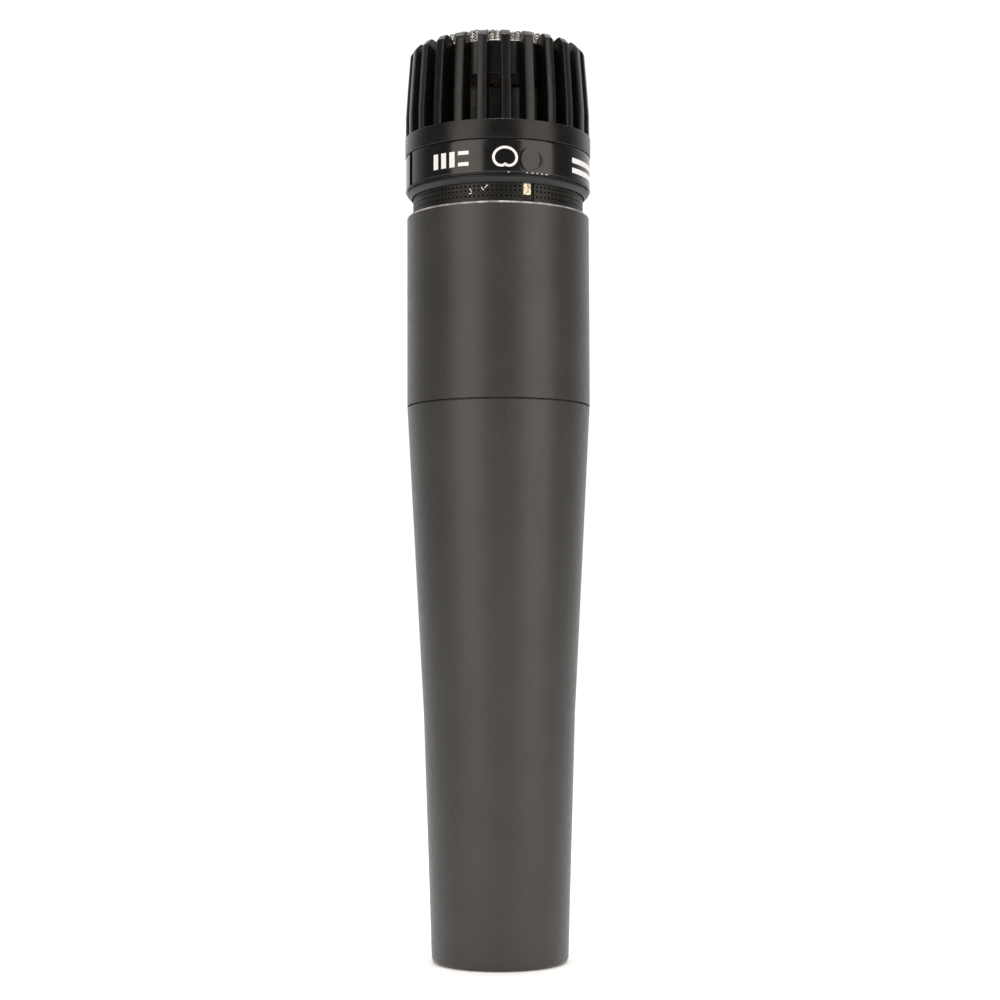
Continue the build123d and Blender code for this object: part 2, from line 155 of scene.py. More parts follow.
def tube(points, radius, sides):
    """Vertices and faces of a round wire along points, capped at both ends."""
    count = len(points)
    vertices = []
    side = Vector((0, 0, 1))
    for index, point in enumerate(points):
        before = points[index - 1] if index else point
        after = points[index + 1] if index < count - 1 else point
        along = (after - before).normalized()
        side = (side - along * side.dot(along)).normalized()
        other = along.cross(side)
        for step in range(sides):
            turn = 2 * math.pi * step / sides
            vertices.append(point + (side * math.cos(turn) + other * math.sin(turn)) * radius)
    faces = grid_faces(count, sides)
    faces.append(tuple(range(sides - 1, -1, -1)))
    faces.append(tuple(range((count - 1) * sides, count * sides)))
    return vertices, faces


def finish(piece, body, slot, finish_material, *nodes):
    """Gives a new piece its material and body, and hides the CAD nodes it stands for; the slot
    argument is not used.
    """
    piece.data.materials.append(finish_material)
    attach(piece, body)
    if nodes:
        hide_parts(*nodes)
    return piece


# ---- Material making ----------------------------------------------------------------
def set_range(node, low, high, to_low, to_high):
    """Numbers of a map-range node."""
    numbers = {"From Min": low, "From Max": high, "To Min": to_low, "To Max": to_high}
    for key, number in numbers.items():
        node.inputs[key].default_value = number


class Nodes:
    """Short calls for building one material's node tree."""

    def __init__(self, name):
        self.material = bpy.data.materials.new(name)
        self.material.use_nodes = True
        self.tree = self.material.node_tree
        self.shader = self.tree.nodes["Principled BSDF"]
        self.place = self.scaled((1 / MM, 1 / MM, 1 / MM))

    def add(self, kind, **values):
        node = self.tree.nodes.new(kind)
        for key, value in values.items():
            setattr(node, key, value)
        return node

    def link(self, out, into):
        self.tree.links.new(out, into)

    def scaled(self, scale):
        """Place on the object in millimetres, stretched along an axis where scale says."""
        mapping = self.add("ShaderNodeMapping")
        mapping.inputs["Scale"].default_value = scale
        self.link(self.add("ShaderNodeTexCoord").outputs["Object"], mapping.inputs["Vector"])
        return mapping.outputs["Vector"]

    def along(self, axis):
        """Distance in millimetres along one axis."""
        split = self.add("ShaderNodeSeparateXYZ")
        self.link(self.place, split.inputs["Vector"])
        return split.outputs[axis]

    def speckle(self, size, detail=2.0, place=None, rough=0.5):
        """Noise from 0 to 1 whose blotches are about size millimetres across."""
        texture = self.add("ShaderNodeTexNoise")
        texture.inputs["Scale"].default_value = 1 / size
        texture.inputs["Detail"].default_value = detail
        texture.inputs["Roughness"].default_value = rough
        self.link(place or self.place, texture.inputs["Vector"])
        return texture.outputs["Fac"]

    def between(self, value, low, high, to_low=0.0, to_high=1.0):
        """Value mapped from low..high to to_low..to_high, and held there outside it."""
        mapped = self.add("ShaderNodeMapRange")
        set_range(mapped, low, high, to_low, to_high)
        self.link(value, mapped.inputs["Value"])
        return mapped.outputs["Result"]

    def calc(self, operation, first, second):
        """One step of arithmetic on values or numbers."""
        node = self.add("ShaderNodeMath", operation=operation)
        for index, value in enumerate((first, second)):
            if isinstance(value, (int, float)):
                node.inputs[index].default_value = value
            else:
                self.link(value, node.inputs[index])
        return node.outputs["Value"]

    def blend(self, factor, first, second):
        """Colour mixed from first to second by factor; each is a colour or a socket."""
        mix = self.add("ShaderNodeMix", data_type="RGBA")
        self.link(factor, mix.inputs["Factor"])
        colour_a, colour_b, colour_result = 6, 7, 2  # the node's colour sockets
        for key, value in ((colour_a, first), (colour_b, second)):
            if isinstance(value, tuple):
                mix.inputs[key].default_value = (*value, 1)
            else:
                self.link(value, mix.inputs[key])
        return mix.outputs[colour_result]

    def set(self, **values):
        """Shader inputs by name, such as base_color, from numbers or sockets."""
        for key, value in values.items():
            socket = self.shader.inputs[key.replace("_", " ").title().replace("Ior", "IOR")]
            if hasattr(value, "is_linked"):
                self.link(value, socket)
            else:
                socket.default_value = value

    def bump(self, *layers):
        """Stacks bumps; each layer is (height socket, depth in millimetres)."""
        normal = None
        for height, depth in layers:
            node = self.add("ShaderNodeBump")
            node.inputs["Distance"].default_value = depth * MM
            self.link(height, node.inputs["Height"])
            if normal:
                self.link(normal, node.inputs["Normal"])
            normal = node.outputs["Normal"]
        self.link(normal, self.shader.inputs["Normal"])


def shade(colour, factor):
    """Colour made darker or lighter."""
    return tuple(min(1.0, channel * factor) for channel in colour)


def moulded(name, colour, roughness, grain=0.12, depth=0.004, vary=0.25, gloss=0.5):
    """Moulded or painted surface: fine grain, faint mottling and uneven roughness."""
    nodes = Nodes(name)
    mottle = nodes.speckle(6.0, 4.0)
    dark, pale = shade(colour, 1 - vary), shade(colour, 1 + vary)
    handled = nodes.speckle(2.5, 3.0)
    nodes.set(
        base_color=nodes.blend(nodes.between(mottle, 0.3, 0.7), dark, pale),
        roughness=nodes.between(handled, 0.3, 0.7, roughness - 0.04, roughness + 0.05),
        specular_ior_level=gloss,
    )
    nodes.bump((nodes.speckle(grain, 2.0), depth), (mottle, depth * 2))
    return nodes.material


def machined(name, colour, roughness):
    """Turned metal: fine rings around the axis, darker tarnish in patches."""
    line, depth, tarnish = 0.12, 0.002, 0.75
    nodes = Nodes(name)
    rings = nodes.speckle(line, 2.0, nodes.scaled((60, 60, 1 / MM)))
    patches = nodes.speckle(3.5, 5.0)
    nodes.set(
        base_color=nodes.blend(nodes.between(patches, 0.35, 0.65), shade(colour, tarnish), colour),
        metallic=1.0,
        roughness=nodes.between(rings, 0.3, 0.7, roughness - 0.05, roughness + 0.08),
    )
    nodes.bump((rings, depth), (patches, depth))
    return nodes.material


def woven(name, colour, pitch):
    """Woven cloth on a cylinder or disc: crossing threads from two waves."""
    depth = 0.03
    nodes = Nodes(name)
    waves_per_unit = 0.31  # wave scale that gives one thread per millimetre
    waves = []
    for axis in ("X", "Z"):
        wave = nodes.add("ShaderNodeTexWave", bands_direction=axis)
        wave.inputs["Scale"].default_value = waves_per_unit / pitch
        wave.inputs["Distortion"].default_value = 0.4
        nodes.link(nodes.place, wave.inputs["Vector"])
        waves.append(wave.outputs["Fac"])
    threads = nodes.calc("MAXIMUM", *waves)
    nodes.set(
        base_color=nodes.blend(threads, shade(colour, 0.4), shade(colour, 1.5)),
        roughness=0.9,
        sheen_weight=0.3,
    )
    nodes.bump((threads, depth))
    return nodes.material


def enamel_material():
    """Dark warm-grey enamel with a very fine texture, and a painted highlight: a patchy pale metal
    band on the barrel's top edge.
    """
    nodes = Nodes("enamel")
    base, dust_colour, painted_highlight_metal = (0.0294, 0.028, 0.0254), (0.5, 0.48, 0.45), (0.66, 0.66, 0.67)
    barrel_top = extent("barrel_shell")[2]
    mottle = nodes.speckle(9.0, 5.0)
    grain = nodes.speckle(0.16, 2.0)
    colour = nodes.blend(nodes.between(mottle, 0.3, 0.7), shade(base, 0.88), shade(base, 1.12))
    dust = nodes.between(nodes.speckle(0.3, 0.0), 0.83, 0.86)
    colour = nodes.blend(nodes.calc("MULTIPLY", dust, 0.12), colour, dust_colour)
    # Painted highlight: a patchy band of pale metal along the barrel's top edge stands in for the
    # bright line of light that falls there.
    edge = nodes.between(nodes.along("Z"), barrel_top - 0.44, barrel_top - 0.3)
    patches = nodes.between(nodes.speckle(2.2, 4.0), 0.4, 0.62, 0.3, 1.0)
    edge_highlight = nodes.calc("MULTIPLY", edge, patches)
    nodes.set(
        base_color=nodes.blend(edge_highlight, colour, painted_highlight_metal),
        metallic=nodes.calc("MULTIPLY", edge_highlight, 0.8),
        roughness=nodes.between(nodes.speckle(1.2, 3.0), 0.3, 0.7, 0.33, 0.41),
    )
    nodes.bump((grain, 0.006), (nodes.speckle(0.9, 2.0), 0.004))
    return nodes.material


def tab_material():
    """Bright brass under old flux: pale and shiny in places, olive in others."""
    nodes = Nodes("tab_brass")
    olive, bright = (0.13, 0.11, 0.055), (0.85, 0.78, 0.6)
    patches = nodes.between(nodes.speckle(0.7, 4.0, rough=0.65), 0.42, 0.58)
    nodes.set(
        base_color=nodes.blend(patches, olive, bright),
        metallic=nodes.between(patches, 0.0, 1.0, 0.2, 0.6),
        roughness=nodes.between(nodes.speckle(0.5, 3.0), 0.3, 0.7, 0.2, 0.45),
    )
    nodes.bump((nodes.speckle(0.35, 4.0), 0.03))
    return nodes.material


def brass_and_glint_material():
    """Black finish over brass that shows through in small patches near the rim; the patches are
    pale enough to serve also as painted glints on the shaded rim.
    """
    nodes = Nodes("rubbed_brass_and_glints")
    # Painted highlight: the brass colour is paler than worn brass in that shade would look, so the
    # rim patches also stand in for glints.
    black, brass_and_glint = (0.004, 0.0036, 0.003), (0.4, 0.31, 0.18)
    cap_top = extent("resonator_cap")[2]
    rim = nodes.between(nodes.along("Z"), cap_top - 0.9, cap_top - 0.1)
    patches = nodes.between(nodes.speckle(1.6, 4.0), 0.46, 0.54)
    bare_brass_and_glint = nodes.calc("MULTIPLY", rim, patches)
    nodes.set(
        base_color=nodes.blend(bare_brass_and_glint, black, brass_and_glint),
        metallic=bare_brass_and_glint,
        roughness=nodes.between(nodes.speckle(0.6, 3.0), 0.3, 0.7, 0.38, 0.55),
    )
    nodes.bump((nodes.speckle(0.25, 3.0), 0.006))
    return nodes.material


ENAMEL = enamel_material()
BLACK_PLASTIC = moulded("black_plastic", (0.0032, 0.0035, 0.0037), 0.27, 0.2, 0.005, 0.25, 0.4)
SATIN_RING = moulded("satin_ring", (0.011, 0.0115, 0.013), 0.42, 0.12, 0.004, 0.15, 0.42)
PERFORATED = moulded("perforated_metal", (0.006, 0.006, 0.0045), 0.4, 0.1, 0.003, 0.3, 0.38)
LABEL = moulded("label_film", (0.0036, 0.0037, 0.004), 0.17, 0.4, 0.001, 0.2, 0.58)
RUBBED_BRASS_AND_GLINTS = brass_and_glint_material()
TAB_BRASS = tab_material()
CAPSULE_BLACK = moulded("capsule_black", (0.004, 0.0036, 0.003), 0.5, 0.15, 0.006, 0.4)
PRINT = moulded("white_print", (0.82, 0.82, 0.8), 0.45, 0.08, 0.002, 0.05)
WIRE = machined("wire", (0.66, 0.64, 0.6), 0.3)
STEEL = machined("steel", (0.5, 0.5, 0.5), 0.33)
ALUMINIUM = machined("aluminium", (0.74, 0.74, 0.75), 0.32)
BRASS = machined("brass", (0.65, 0.47, 0.22), 0.3)
PLATED = machined("contact_metal", (0.76, 0.74, 0.7), 0.18)
INSULATOR = moulded("insulator", (0.03, 0.03, 0.03), 0.5)
BOARD = moulded("board", (0.27, 0.15, 0.07), 0.6, 0.3, 0.006)
RUBBER = moulded("rubber", (0.025, 0.025, 0.025), 0.7, 0.25, 0.01)
CLOTH = woven("cloth", (0.02, 0.02, 0.02), 0.25)
FOAM = moulded("foam", (0.045, 0.03, 0.02), 0.95, 0.35, 0.12, 0.5)
FILM = moulded("film", (0.5, 0.46, 0.38), 0.2, 0.5, 0.002)
COPPER = machined("copper_wire", (0.6, 0.27, 0.12), 0.32)
RESIN = moulded("resin", (0.33, 0.2, 0.07), 0.25, 0.8, 0.01, 0.3)
MAGNET = machined("ceramic_magnet", (0.16, 0.16, 0.16), 0.5)
LEAD_RED = moulded("lead_red", (0.42, 0.03, 0.02), 0.45)
LEAD_YELLOW = moulded("lead_yellow", (0.62, 0.48, 0.05), 0.45)
LEAD_GREEN = moulded("lead_green", (0.03, 0.28, 0.08), 0.45)
LEAD_BLACK = moulded("lead_black", (0.02, 0.02, 0.02), 0.45)

SLOT_MATERIALS = {
    "enamel": ENAMEL, "black_plastic": BLACK_PLASTIC, "label_film": LABEL, "satin_ring": SATIN_RING,
    "perforated_metal": PERFORATED, "wire": WIRE, "steel": STEEL, "aluminium": ALUMINIUM,
    "brass": BRASS, "contact_metal": PLATED, "insulator": INSULATOR, "board": BOARD,
    "rubber": RUBBER, "cloth": CLOTH, "foam": FOAM, "film": FILM, "copper_wire": COPPER,
    "resin": RESIN, "ceramic_magnet": MAGNET, "lead_red": LEAD_RED, "lead_yellow": LEAD_YELLOW,
    "lead_green": LEAD_GREEN, "lead_black": LEAD_BLACK,
}  # fmt: skip


BLACKENED = ("diaphragm_ring", "head_seat", "swivel_ring", "top_plate", "magnet_cup")
NODE_MATERIALS = {"joint_tab": TAB_BRASS, **dict.fromkeys(BLACKENED, CAPSULE_BLACK)}


def dress_cad_nodes():
    """Every CAD node takes its own material, or else the material of its record slot."""
    for part in frame["record"]["subparts"]:
        name = part["node"]
        materials = frame["nodes"][name].data.materials
        materials.clear()
        materials.append(NODE_MATERIALS.get(name, SLOT_MATERIALS[part["material_slot"]]))


# ---- Head ---------------------------------------------------------------------------
def fin_shape(cap_top, slot_floor, outer):
    """One fin, standing at angle 0: side outline (radius, height), thickened and rounded."""
    thickness, edge_radius = 1.6, 0.2
    root, tip, shoulder = 12.5, 14.2, 15.18
    foot = slot_floor - 0.5
    outline = rounded([
        (root, foot),
        (outer - 0.12, foot),
        (outer - 0.13, slot_floor + 3.6, 6.0),
        (outer - 0.46, slot_floor + 8.6, 9.0),
        (shoulder, cap_top - 1.1, 0.9),
        (tip, cap_top, 0.45),
        (root - 0.05, cap_top - 0.85, 0.3),
    ])
    work = bmesh.new()
    side = [work.verts.new((r, -thickness / 2, z)) for r, z in outline]
    face = work.faces.new(side)
    lifted = bmesh.ops.extrude_face_region(work, geom=[face])["geom"]
    moved = [item for item in lifted if isinstance(item, bmesh.types.BMVert)]
    bmesh.ops.translate(work, verts=moved, vec=(0, thickness, 0))
    rim = [edge for edge in work.edges if abs(edge.verts[0].co.y - edge.verts[1].co.y) < 0.01]
    bmesh.ops.bevel(work, geom=rim, offset=edge_radius, segments=3, profile=0.5, affect="EDGES")
    vertices = [vertex.co.copy() for vertex in work.verts]
    faces = [tuple(vertex.index for vertex in face.verts) for face in work.faces]
    work.free()
    return vertices, faces


def make_grille_cap():
    """Skirt with the label's recess, 24 fins, and the inner ring that seats the screen."""
    outer, cap_bottom, cap_top = extent("grille_cap")
    label_low, label_high = extent("label_band")[1:]
    slot_floor = label_high + 3.45
    lip, recess, bore, throat = 16.0, 15.5, 13.3, 12.4
    shelf = cap_bottom + 7.4
    groove, groove_low, groove_high = bore + 0.45, cap_bottom + 4.9, cap_bottom + 5.9
    skirt = rounded([
        (bore, cap_bottom),
        (lip, cap_bottom, 0.06),
        (lip, label_low - 0.12, 0.05),
        (recess, label_low - 0.12),
        (recess, label_high + 0.15),
        (outer - 0.03, label_high + 0.15, 0.12),
        (outer, slot_floor, 0.18),
        (throat, slot_floor, 0.18),
        (throat, shelf),
        (bore, shelf),
        (bore, groove_high),
        (groove, groove_high),
        (groove, groove_low),
        (bore, groove_low),
    ])
    ring_low, ring_top = slot_floor + 8.5, cap_top - 1.4
    ring_inner, screen_seat, ring_outer = 11.9, 12.3, 12.6
    inner_ring = rounded([
        (ring_inner, ring_low, 0.1),
        (ring_outer, ring_low, 0.1),
        (ring_outer, ring_top, 0.1),
        (screen_seat, ring_top),
        (screen_seat, ring_top - 0.6),
        (ring_inner, ring_top - 0.6),
    ])
    parts = [turned(skirt), turned(inner_ring)]
    fin_vertices, fin_faces = fin_shape(cap_top, slot_floor, outer)
    for index in range(FIN_COUNT):
        turn = Matrix.Rotation(math.radians(FRONT_FIN - 90 + 360 * index / FIN_COUNT), 3, "Z")
        parts.append(([turn @ vertex for vertex in fin_vertices], fin_faces))
    piece = mesh_piece("grille_cap_moulding", *merge(parts))
    finish(piece, "head", "black_plastic", BLACK_PLASTIC, "grille_cap")


def make_head_ring():
    """Coned ring under the skirt, with a thin dark groove above it."""
    outer, low, high = extent("head_ring")
    bore, groove, shoulder = outer - 0.95, outer - 0.3, high - 0.25
    outline = rounded([
        (bore, low),
        (bore + 0.1, low, 0.08),
        (outer, shoulder, 0.12),
        (groove, shoulder),
        (groove, high),
        (bore, high),
    ])
    piece = mesh_piece("head_lower_ring", *turned(outline))
    finish(piece, "head", "satin_ring", SATIN_RING, "head_ring")


def make_label():
    """Glossy strip in its recess: a joint at one side and one shallow round dimple."""
    outer, low, high = extent("label_band")
    joint, half_gap, dimple = -68.7, 2.5, 21.0  # angles
    dimple_height = (low + high) / 2 - 0.55
    dimple_depth, dimple_floor, dimple_slope = 0.09, 1.5, 0.3
    rim_rise, rim_radius, rim_width = 0.045, 1.88, 0.17
    edge_depth, edge_width = 0.06, 0.2
    columns, rows = 720, 30
    inside = outer - 0.4
    span = 360 - 2 * half_gap
    vertices = []
    for column in range(columns + 1):
        angle = joint + half_gap + span * column / columns
        arm = direction(angle)
        for row in range(rows + 1):
            z = low + (high - low) * row / rows
            across = (angle - dimple + 180) % 360 - 180
            away = math.hypot(math.radians(across) * outer, z - dimple_height)
            dip = dimple_depth * (1 - smooth((away - dimple_floor) / dimple_slope))
            dip -= rim_rise * math.exp(-(((away - rim_radius) / rim_width) ** 2))
            near_edge = smooth(1 - (z - low) / edge_width) + smooth(1 - (high - z) / edge_width)
            vertices.append(arm * (outer - dip - edge_depth * near_edge) + Vector((0, 0, z)))
    outside = len(vertices)
    for column in range(columns + 1):
        arm = direction(joint + half_gap + span * column / columns)
        vertices.append(arm * inside + Vector((0, 0, low)))
        vertices.append(arm * inside + Vector((0, 0, high)))
    faces = grid_faces(columns + 1, rows + 1, wrap_columns=False)
    for column in range(columns):
        here, there = column * (rows + 1), (column + 1) * (rows + 1)
        back, forward = outside + column * 2, outside + column * 2 + 2
        faces.append((here, back, forward, there))
        faces.append((here + rows, there + rows, forward + 1, back + 1))
        faces.append((back, back + 1, forward + 1, forward))
    for column, flip in ((0, False), (columns, True)):
        start = column * (rows + 1)
        rim = [start + row for row in range(rows + 1)]
        rim += [outside + column * 2 + 1, outside + column * 2]
        faces.append(tuple(reversed(rim)) if flip else tuple(rim))
    piece = mesh_piece("label_strip", vertices, faces)
    finish(piece, "head", "label_film", LABEL, "label_band")
    return outer, low, high


def smooth(value):
    """0 below 0, 1 above 1, and a smooth step between."""
    value = max(0.0, min(1.0, value))
    return value * value * (3 - 2 * value)


def ribbon(path, width, radius, closed):
    """Flat printed line on a cylinder; path is a list of (angle, height) points."""
    thickness, sunk = 0.03, 0.01
    points = [Vector((math.radians(angle) * radius, height)) for angle, height in path]
    count = len(points)
    vertices = []
    for index, point in enumerate(points):
        before = points[index - 1] if index or closed else point
        after = points[(index + 1) % count] if index < count - 1 or closed else point
        along = (after - before).normalized()
        side = Vector((-along.y, along.x)) * width / 2
        left, right = point - side, point + side
        for spot, lift in ((left, 0), (right, 0), (right, thickness), (left, thickness)):
            arm = direction(math.degrees(spot.x / radius))
            vertices.append(arm * (radius + lift - sunk) + Vector((0, 0, spot.y)))
    faces = grid_faces(count, 4, wrap_rows=closed)
    if not closed:
        faces.append((3, 2, 1, 0))
        faces.append(tuple(range(4 * count - 4, 4 * count)))
    return vertices, faces


def pattern_mark(centre, height, radius):
    """The pick-up pattern drawn as an outline: a heart-like curve with its notch below."""
    steps, line_width = 96, 0.42
    size, notch = 1.08, 0.92
    wide, tall, drop = 1.42, 1.30, 1.02
    path = []
    for step in range(steps):
        turn = 2 * math.pi * step / steps
        reach = size * (1 + notch * math.sin(turn))
        x = reach * math.cos(turn) * wide
        z = reach * math.sin(turn) * tall - drop
        path.append((centre + math.degrees(x / radius), height + z))
    return ribbon(path, line_width, radius, True)


def bar_mark(low_angle, high_angle, height, width, radius):
    """A plain straight bar around the strip."""
    steps = 24
    span = high_angle - low_angle
    path = [(low_angle + span * step / steps, height) for step in range(steps + 1)]
    return ribbon(path, width, radius, False)


def make_print(outer, low, high):
    """Plain white marks: the pick-up pattern, and bars where the real strip has lettering."""
    middle = (low + high) / 2 - 0.32
    parts = [pattern_mark(4.4, middle, outer)]
    for angle in (-42.5, -36.5, -30.5):
        parts.append(bar_mark(angle, angle + 3.6, middle, 2.6, outer))
    parts.append(bar_mark(-24.6, -17.8, middle + 0.95, 0.62, outer))
    parts.append(bar_mark(-24.6, -17.8, middle - 0.95, 0.62, outer))
    parts.append(bar_mark(52.0, 108.0, middle + 0.85, 0.9, outer))
    parts.append(bar_mark(52.0, 96.0, middle - 0.85, 0.9, outer))
    piece = mesh_piece("label_print", *merge(parts))
    finish(piece, "head", "label_film", PRINT)


def screen_height(x, y, outer, low, high):
    """Height of the wire screen's middle surface: a shallow pan with a dented crown."""
    radius = math.hypot(x, y)
    flat_radius, tilt = 11.1, 0.016
    crown = high + 0.1 - (radius / 10.4) ** 2 * 0.1
    dent = 0.22 * noise.noise(Vector((x, y, 0)) * 0.16) - tilt * x
    shoulder = smooth((radius - flat_radius) / (outer - flat_radius))
    return (crown + dent) * (1 - shoulder) + (low + 0.1) * shoulder


def make_wire_screen():
    """Woven wire cloth: two sets of round wires passing over and under each other."""
    outer, low, high = extent("wire_screen")
    pitch, wire, samples = 0.86, 0.17, 4
    swing = wire * 0.95
    lines = int(outer / pitch)
    parts = []
    for crosswise in (False, True):
        for line in range(-lines, lines + 1):
            offset = line * pitch
            reach = math.sqrt(max(0.0, (outer - 0.1) ** 2 - offset ** 2))
            if reach < pitch:
                continue
            steps = int(reach / pitch * samples)
            points = []
            for step in range(-steps, steps + 1):
                along = step * pitch / samples
                weave = math.cos(math.pi * (along / pitch + line + crosswise)) * swing
                x, y = (offset, along) if crosswise else (along, offset)
                height = screen_height(x, y, outer, low, high)
                points.append(Vector((x, y, height + weave)))
            parts.append(tube(points, wire, 6))
    piece = mesh_piece("woven_screen", *merge(parts))
    finish(piece, "head", "wire", WIRE, "wire_screen")


def make_screen_rim():
    """Bright ring that clamps the screen's edge."""
    outer, low, high = extent("screen_rim")
    inner = outer - 0.95
    outline = rounded([
        (inner, low),
        (outer, low, 0.1),
        (outer, high, 0.15),
        (outer - 0.4, high, 0.15),
        (outer - 0.45, low + 0.45, 0.1),
        (inner, low + 0.35),
    ])
    piece = mesh_piece("screen_clamp_rim", *turned(outline))
    finish(piece, "head", "wire", WIRE, "screen_rim")


def make_filter():
    """Soft open-cell disc under the screen, with an uneven top and a rounded edge."""
    outer, low, high = extent("filter_disc")
    centre, edge, lump_height, lumps_per_mm = 0.02, 0.4, 0.16, 1.9
    rings = [(centre, high)] + [(outer * step / 24, high) for step in range(1, 24)]
    rings += [(outer, high - edge), (outer, low + edge)]
    rings += [(outer * step / 12, low) for step in range(11, 0, -1)] + [(centre, low)]

    def lumpy(radius, height, angle):
        spot = direction(angle) * radius
        lump = noise.noise(Vector((spot.x, spot.y, height)) * lumps_per_mm)
        return radius, height + lump_height * lump

    vertices, faces = turned(rings, 120, lumpy)
    piece = mesh_piece("filter_foam", vertices, faces)
    finish(piece, "head", "foam", FOAM, "filter_disc")


def make_resonator_cap():
    """Blackened cap over the diaphragm, its upper rim worn to brass in patches that also serve as
    painted glints.
    """
    outer, low, high = extent("resonator_cap")
    bore, eye, hub_outer, centre_hole, roof = outer - 1.1, 6.9, 4.3, 1.5, 0.75
    spokes, spoke_half_width = 8, 0.9
    wall = rounded([
        (bore, low),
        (outer, low, 0.08),
        (outer, high - roof, 0.25),
        (outer - 0.65, high, 0.25),
        (eye, high, 0.1),
        (eye, high - roof),
        (bore, high - 1.3),
    ])
    hub = rounded([
        (centre_hole, high - roof),
        (hub_outer, high - roof),
        (hub_outer, high),
        (centre_hole, high, 0.1),
    ])
    parts = [turned(wall, 160), turned(hub, 96)]
    corners = [
        (r, y, z)
        for r in (hub_outer - 0.1, eye + 0.1)
        for y in (-spoke_half_width, spoke_half_width)
        for z in (high - 0.7, high - 0.05)
    ]
    faces = [(0, 1, 3, 2), (4, 6, 7, 5), (0, 4, 5, 1), (2, 3, 7, 6), (0, 2, 6, 4), (1, 5, 7, 3)]
    for index in range(spokes):
        turn = Matrix.Rotation(math.radians(360 * index / spokes), 3, "Z")
        parts.append(([turn @ Vector(corner) for corner in corners], faces))
    piece = mesh_piece("capsule_cap", *merge(parts))
    finish(piece, "cartridge", "brass", RUBBED_BRASS_AND_GLINTS, "resonator_cap")


# ---- Perforated ring ----------------------------------------------------------------
def make_perforated_ring():
    """Thin sleeve rolled from perforated strip, with a gap where its two ends meet."""
    outer, low, high = extent("rear_port_ring")
    wall = 0.35
    inner = outer - wall
    count, sides, hole = 120, 12, 0.2
    cell = 360 / count
    half_cell = math.radians(cell / 2) * outer
    # Each row's centre, lower and upper bound, below the sleeve's top edge
    rows = [
        (high - centre, high - bottom, high - top)
        for centre, bottom, top in ((2.7, 3.16, 2.24), (1.78, 2.24, 1.41), (1.05, 1.41, 0.69))
    ]
    holes_low, holes_high = rows[0][1], rows[2][2]
    first, last = 24.2, 16.8 + 360  # angles of the two ends
    parts = []

    def on_sleeve(radius, angle, z):
        return direction(angle) * radius + Vector((0, 0, z))

    offset = 0.6
    angles = [index * cell - offset for index in range(count * 2)]
    angles = [angle for angle in angles if first + cell / 2 <= angle <= last - cell / 2]
    for height, bottom, top in rows:
        for angle in angles:
            vertices = []
            for radius in (outer, inner):
                for step in range(sides):
                    turn = 2 * math.pi * (step + 0.5) / sides
                    c, s = math.cos(turn), math.sin(turn)
                    across = math.degrees(hole * c / outer)
                    vertices.append(on_sleeve(radius, angle + across, height + hole * s))
                    reach = abs((top if s > 0 else bottom) - height)
                    grow = min(half_cell / max(abs(c), 1e-6), reach / max(abs(s), 1e-6))
                    across = math.degrees(grow * c / outer)
                    vertices.append(on_sleeve(radius, angle + across, height + grow * s))
            faces = []
            back = 2 * sides
            for step in range(sides):
                here, there = 2 * step, 2 * ((step + 1) % sides)
                faces.append((here, here + 1, there + 1, there))
                faces.append((back + here, back + there, back + there + 1, back + here + 1))
                faces.append((here, there, back + there, back + here))
            parts.append((vertices, faces))

    def plain(start, end, bottom, top):
        """Stretch of sleeve without holes."""
        degrees_per_step = 1.5
        steps = max(1, round((end - start) / degrees_per_step))
        outline = ((outer, bottom), (outer, top), (inner, top), (inner, bottom))
        vertices = [
            on_sleeve(radius, start + (end - start) * step / steps, z)
            for step in range(steps + 1)
            for radius, z in outline
        ]
        faces = grid_faces(steps + 1, 4)
        faces += [(3, 2, 1, 0), tuple(range(4 * steps, 4 * steps + 4))]
        return vertices, faces

    parts.append(plain(first, last, low, holes_low))
    parts.append(plain(first, last, holes_high, high))
    parts.append(plain(first, angles[0] - cell / 2, holes_low, holes_high))
    parts.append(plain(angles[-1] + cell / 2, last, holes_low, holes_high))
    piece = mesh_piece("perforated_sleeve", *merge(parts), sharp=50)
    finish(piece, "cartridge", "perforated_metal", PERFORATED, "rear_port_ring")


def make_lint():
    """A few pale fibres caught on the sleeve, and chips along the label's lower edge."""
    outer = extent("rear_port_ring")[0]
    fibre = 0.075
    strands = (
        ((-18.6, 129.75), (-17.9, 129.5), (-17.3, 129.2)),
        ((-19.0, 128.9), (-18.2, 128.95), (-17.2, 129.0)),
        ((-10.6, 129.95), (-10.1, 129.7), (-9.2, 129.4)),
        ((-8.4, 129.8), (-7.4, 130.1), (-6.6, 130.3)),
    )
    parts = []
    for strand in strands:
        points = [direction(angle) * (outer + 0.07) + Vector((0, 0, z)) for angle, z in strand]
        parts.append(tube(points, fibre, 6))
    piece = mesh_piece("lint", *merge(parts))
    finish(piece, "cartridge", "perforated_metal", PRINT)
    edge = extent("label_band")[1] - 0.06
    lip, chip = 16.0, 0.055
    chips = []
    marks = ((6.5, 0.34), (17.8, 0.3), (21.3, 0.5), (24.2, 0.3), (27.3, 0.4), (30.6, 0.44))
    for angle, width in marks:
        half = math.degrees(width / 2 / lip)
        points = []
        for step, lift in ((-1, 0.03), (-0.3, -0.02), (0.4, 0.03), (1, -0.01)):
            arm = direction(angle + half * step) * (lip - 0.02 * abs(step))
            points.append(arm + Vector((0, 0, edge + lift)))
        chips.append(tube(points, chip, 5))
    piece = mesh_piece("edge_chips", *merge(chips))
    finish(piece, "head", "black_plastic", PRINT)


# ---- Barrel, seam and thread --------------------------------------------------------
def thread_radius(height, angle, root, crest):
    """Radius of a single-start thread's surface at a height and angle."""
    phase = (height / SCREW_PITCH - angle / 360) % 1.0
    rise = 1 - abs(2 * phase - 1)
    return root + (crest - root) * smooth((rise - 0.2) / 0.6)


